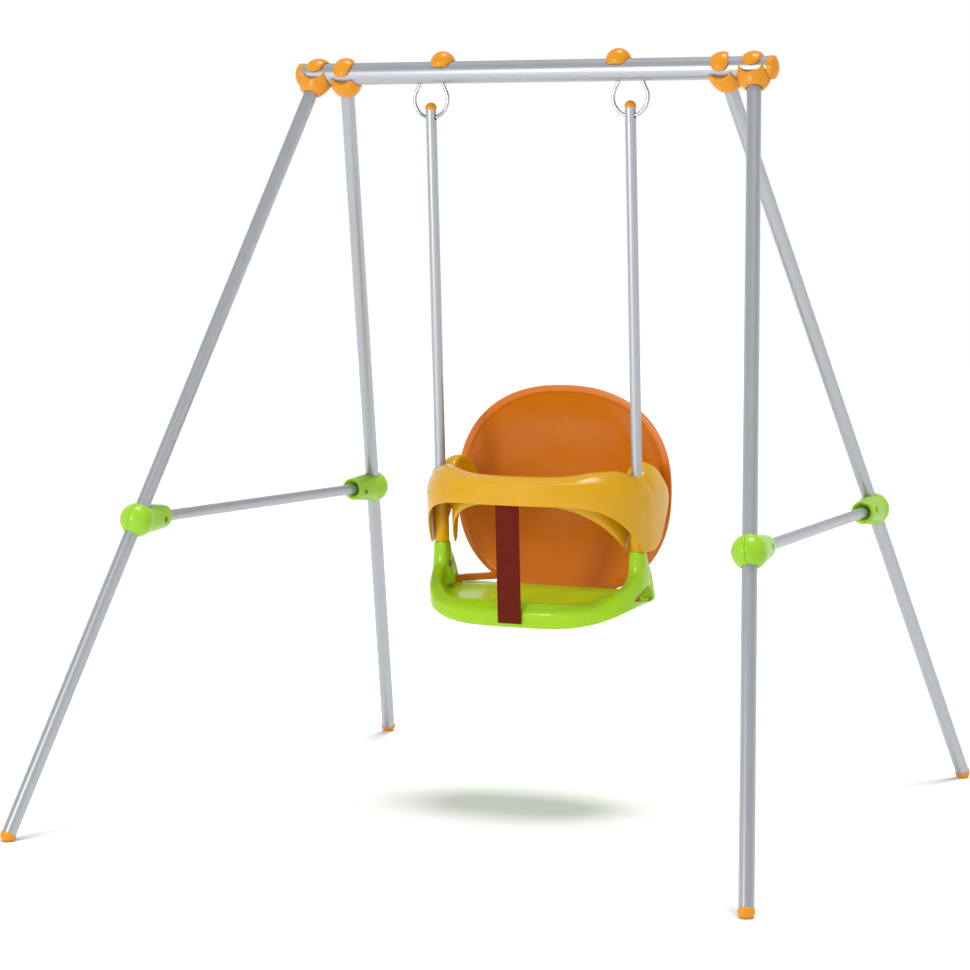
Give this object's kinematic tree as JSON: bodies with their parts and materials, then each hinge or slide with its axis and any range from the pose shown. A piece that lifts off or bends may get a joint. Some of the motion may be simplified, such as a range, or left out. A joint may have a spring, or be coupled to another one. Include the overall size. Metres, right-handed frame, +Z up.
{
  "type": "toddler swing set",
  "caption": "A-frame toddler swing set: tube legs and top bar carry a bucket seat with guard and crotch strap on two rigid rods.",
  "frame": {"origin": "on the ground under the middle of the top bar", "axes": "+X along the top bar, -Y the side the child faces, +Z up"},
  "size_m": [1.2092, 1.1894, 1.1995],
  "materials": {
    "tube_paint": "metallic silver-grey paint, semi-gloss",
    "orange_plastic": "moulded, semi-gloss",
    "joint_green": "moulded, semi-gloss",
    "chrome_wire": "bright chrome plate",
    "zinc_steel": "bright zinc plate",
    "seat_green": "blow-moulded, glossy, grip texture on the pan",
    "guard_amber": "moulded, glossy",
    "back_orange": "moulded, glossy",
    "webbing": "woven polyester webbing"
  },
  "bodies": {
    "frame": {"top_bar": "tube_paint", "bar_end_cap_left": "orange_plastic", "bar_end_cap_right": "orange_plastic", "leg_front_left": "tube_paint", "leg_front_right": "tube_paint", "leg_rear_left": "tube_paint", "leg_rear_right": "tube_paint", "hub_shell_a_front_left": "orange_plastic", "hub_shell_b_front_left": "orange_plastic", "hub_cap_front_left": "orange_plastic", "hub_shell_a_front_right": "orange_plastic", "hub_shell_b_front_right": "orange_plastic", "hub_cap_front_right": "orange_plastic", "hub_shell_a_rear_left": "orange_plastic", "hub_shell_b_rear_left": "orange_plastic", "hub_cap_rear_left": "orange_plastic", "hub_shell_a_rear_right": "orange_plastic", "hub_shell_b_rear_right": "orange_plastic", "hub_cap_rear_right": "orange_plastic", "hub_bolts": "zinc_steel", "hub_nuts": "zinc_steel", "foot_cap_front_left": "orange_plastic", "foot_cap_front_right": "orange_plastic", "foot_cap_rear_left": "orange_plastic", "foot_cap_rear_right": "orange_plastic", "brace_left": "tube_paint", "brace_right": "tube_paint", "joint_outer_front_left": "joint_green", "joint_inner_front_left": "joint_green", "joint_outer_front_right": "joint_green", "joint_inner_front_right": "joint_green", "joint_outer_rear_left": "joint_green", "joint_inner_rear_left": "joint_green", "joint_outer_rear_right": "joint_green", "joint_inner_rear_right": "joint_green", "brace_screws": "zinc_steel", "hook_left": "chrome_wire", "hook_right": "chrome_wire", "hook_nuts": "zinc_steel", "hook_cap_left": "orange_plastic", "hook_cap_right": "orange_plastic"},
    "swing": {"swing_rod_left": "tube_paint", "swing_rod_right": "tube_paint", "rod_cap_left": "orange_plastic", "rod_cap_right": "orange_plastic", "seat": "seat_green", "seat_screws": "zinc_steel", "backrest": "back_orange", "strap_stud": "zinc_steel"},
    "guard": {"guard": "guard_amber", "strap_pin": "zinc_steel", "strap_anchor": "webbing"},
    "strap": {"strap": "webbing", "strap_snap": "zinc_steel"}
  },
  "joints": [
    {"name": "swing_hinge", "type": "hinge", "parent": "frame", "child": "swing", "pos_m": [0, 0, 1.095], "axis": [1, 0, 0], "range_deg": [-48, 40]},
    {"name": "guard_slide", "type": "slide", "parent": "swing", "child": "guard", "axis": [0, -0.0645, 0.9979], "range_m": [0, 0.22]},
    {"name": "strap_hinge", "type": "hinge", "parent": "guard", "child": "strap", "pos_m": [0, -0.07804, 0.4887], "axis": [1, 0, 0], "range_deg": [-90, 0]}
  ]
}
